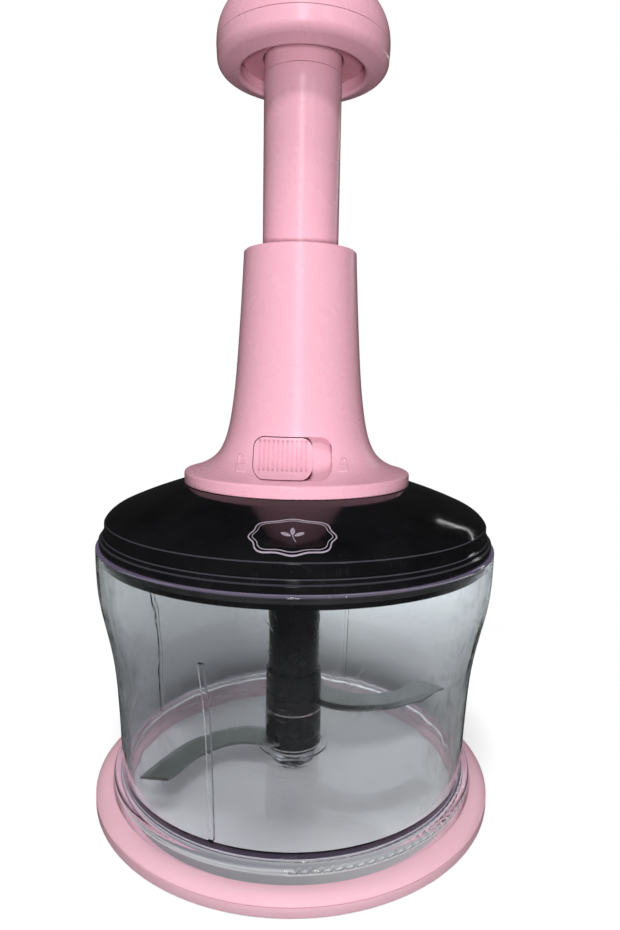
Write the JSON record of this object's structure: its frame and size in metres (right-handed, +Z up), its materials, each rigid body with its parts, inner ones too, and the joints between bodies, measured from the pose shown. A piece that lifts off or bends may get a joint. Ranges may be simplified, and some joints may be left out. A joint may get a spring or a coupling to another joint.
{
  "type": "plunger food chopper",
  "caption": "Hand-pressed food chopper: a clear round bowl on a loose base ring, a black lid, a flared neck with a sliding lock, and a knobbed plunger that spins sickle blades.",
  "frame": {"origin": "centre of the base's underside", "axes": "+Z up along the plunger; the lock button faces -Y; +X to its right seen from the front"},
  "size_m": [0.1584, 0.1584, 0.3042],
  "materials": {
    "pink_plastic": "glossy pink moulded plastic",
    "pink_base_plastic": "satin pink moulded plastic",
    "pink_soft": "soft pink elastomer",
    "black_lid_plastic": "high-gloss black moulded plastic",
    "black_shaft_plastic": "glossy black moulded plastic",
    "clear_plastic": "clear moulded plastic, faintly violet in its thick edges",
    "blade_steel": "ground stainless steel",
    "bright_steel": "bright stainless steel",
    "spring_steel": "drawn spring wire",
    "white_nylon": "natural white nylon",
    "brass": "turned brass",
    "dark_rubber": "matt dark rubber"
  },
  "bodies": {
    "base": {"base_ring": "pink_base_plastic", "base_pads": "dark_rubber"},
    "bowl": {"bowl": "clear_plastic", "centre_pin": "bright_steel"},
    "rotor": {"shaft_end_cap": "black_shaft_plastic", "hub_washers": "bright_steel", "lower_hub": "black_shaft_plastic", "lower_blade": "blade_steel", "upper_hub": "black_shaft_plastic", "upper_blade": "blade_steel", "shaft_core": "black_shaft_plastic", "pin_bush": "brass", "shaft_tube": "black_shaft_plastic"},
    "lid": {"lid_shell": "black_lid_plastic", "lid_underplate": "black_lid_plastic", "lid_seal": "dark_rubber", "underplate_screws": "bright_steel", "housing_shell": "pink_plastic", "housing_screws": "bright_steel", "neck_bush": "white_nylon", "spring_seat": "bright_steel", "return_spring": "spring_steel", "spindle_bearing": "brass"},
    "lock": {"lock_ring": "pink_plastic", "lock_button": "pink_plastic"},
    "plunger": {"plunger_tube": "pink_plastic", "drive_nut": "white_nylon", "nut_screws": "bright_steel", "knob_ring": "pink_plastic", "knob_cap": "pink_plastic", "knob_screw": "bright_steel", "bumper_ring": "pink_soft"},
    "spindle": {"twisted_rod": "bright_steel", "clutch_driver": "white_nylon", "clutch_pin": "bright_steel", "clutch_ratchet": "white_nylon", "clutch_spring": "spring_steel", "output_coupling": "black_shaft_plastic", "retaining_clip": "bright_steel"}
  },
  "joints": [
    {"name": "bowl_lift", "type": "slide", "parent": "base", "child": "bowl", "axis": [0, 0, 1], "range_m": [0, 0.05]},
    {"name": "lid_lift", "type": "slide", "parent": "bowl", "child": "lid", "axis": [0, 0, 1], "range_m": [0, 0.11]},
    {"name": "plunger_press", "type": "slide", "parent": "lid", "child": "plunger", "axis": [0, 0, -1], "range_m": [0, 0.068], "stiffness_N_per_m": 250, "springref_m": -0.05, "deforming": ["return_spring"]},
    {"name": "spindle_spin", "type": "hinge", "parent": "lid", "child": "spindle", "pos_m": [0, 0, 0.11], "axis": [0, 0, 1], "range_deg": [-725, 5]},
    {"name": "rotor_spin", "type": "hinge", "parent": "bowl", "child": "rotor", "pos_m": [0, 0, 0.03], "axis": [0, 0, 1], "range_deg": [-725, 5]},
    {"name": "lock_turn", "type": "hinge", "parent": "lid", "child": "lock", "pos_m": [0, 0, 0.127], "axis": [0, 0, 1], "range_deg": [0, 9.5]}
  ],
  "couplings": [
    {"joint": "spindle_spin", "follows": "plunger_press", "rad_per_m": -184.8},
    {"joint": "rotor_spin", "follows": "plunger_press", "rad_per_m": -184.8}
  ]
}
